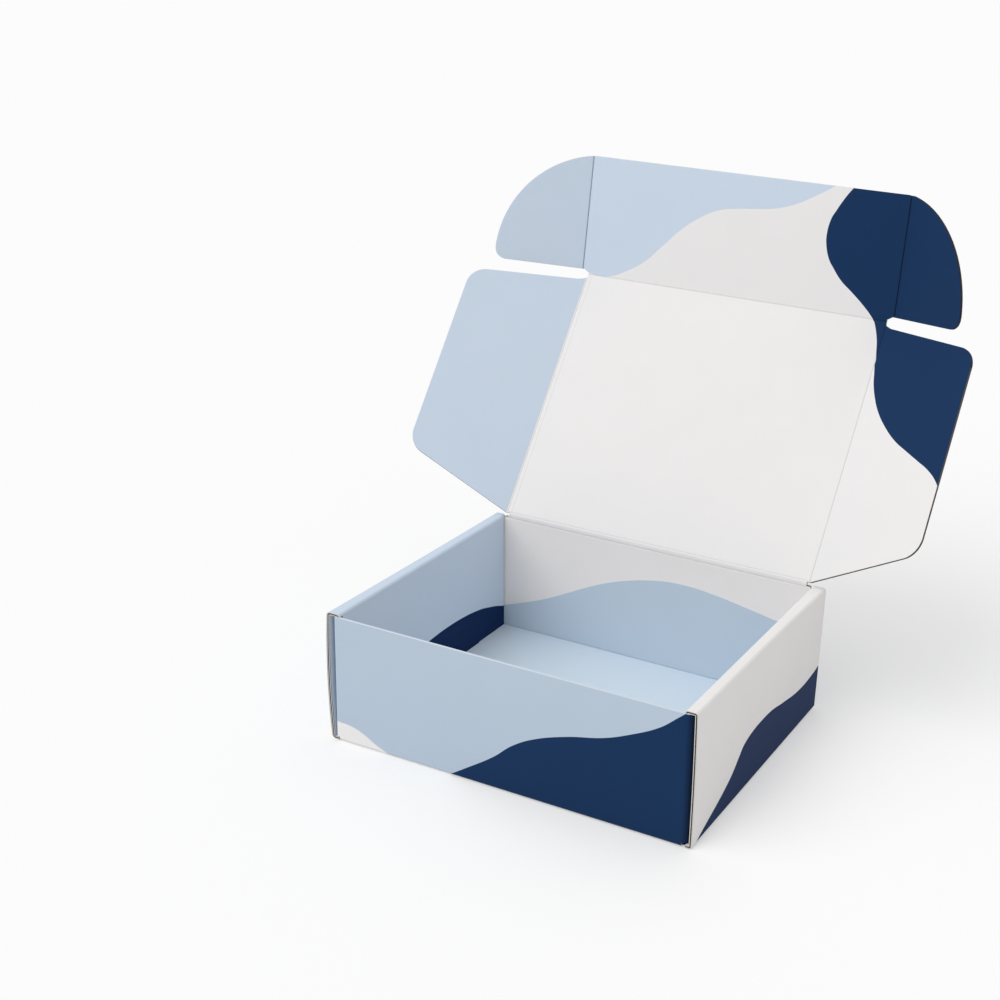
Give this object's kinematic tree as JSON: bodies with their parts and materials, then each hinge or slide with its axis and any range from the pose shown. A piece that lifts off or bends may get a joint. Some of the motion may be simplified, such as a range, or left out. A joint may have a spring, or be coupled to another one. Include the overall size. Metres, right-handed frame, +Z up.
{
  "type": "corrugated mailer box",
  "caption": "Corrugated mailer box, open, with rolled side walls and a hinged lid that has side flaps and an eared tuck flap, printed in waves of white, light blue and navy.",
  "frame": {"origin": "middle of the base's underside", "axes": "+Z up, -Y out of the front wall, +X to the right as seen from the front; the lid is hinged at the +Y side"},
  "size_m": [0.3774, 0.3192, 0.3227],
  "materials": {
    "white_print": "smooth white-lined board, matt",
    "light_blue_print": "smooth printed board, matt",
    "navy_print": "smooth printed board, slightly satin",
    "board_edge": "raw cut edge with its flutes"
  },
  "bodies": {
    "tray": {"tray": "white_print"},
    "lid": {"lid_panel": "white_print"},
    "tuck": {"tuck_flap": "white_print"},
    "left_wing": {"lid_left_wing": "light_blue_print"},
    "right_wing": {"lid_right_wing": "navy_print"},
    "left_ear": {"tuck_left_ear": "light_blue_print"},
    "right_ear": {"tuck_right_ear": "navy_print"}
  },
  "joints": [
    {"name": "lid_hinge", "type": "hinge", "parent": "tray", "child": "lid", "pos_m": [0, 0.0951, 0.0892], "axis": [1, 0, 0], "range_deg": [-70, 72]},
    {"name": "tuck_hinge", "type": "hinge", "parent": "lid", "child": "tuck", "pos_m": [0, 0.20824, 0.23934], "axis": [1, 0, 0], "range_deg": [-27.4, 14]},
    {"name": "left_wing_hinge", "type": "hinge", "parent": "lid", "child": "left_wing", "pos_m": [-0.1148, 0.0951, 0.0892], "axis": [0, 0.6018, 0.7986], "range_deg": [-28, 62]},
    {"name": "left_ear_hinge", "type": "hinge", "parent": "tuck", "child": "left_ear", "pos_m": [-0.12005, 0.20824, 0.23934], "axis": [0, 0.1668, 0.986], "range_deg": [-28, 62]},
    {"name": "right_wing_hinge", "type": "hinge", "parent": "lid", "child": "right_wing", "pos_m": [0.1148, 0.0951, 0.0892], "axis": [0, -0.6018, -0.7986], "range_deg": [-25.5, 64.5]},
    {"name": "right_ear_hinge", "type": "hinge", "parent": "tuck", "child": "right_ear", "pos_m": [0.12005, 0.20824, 0.23934], "axis": [0, -0.1668, -0.986], "range_deg": [-34, 56]}
  ]
}
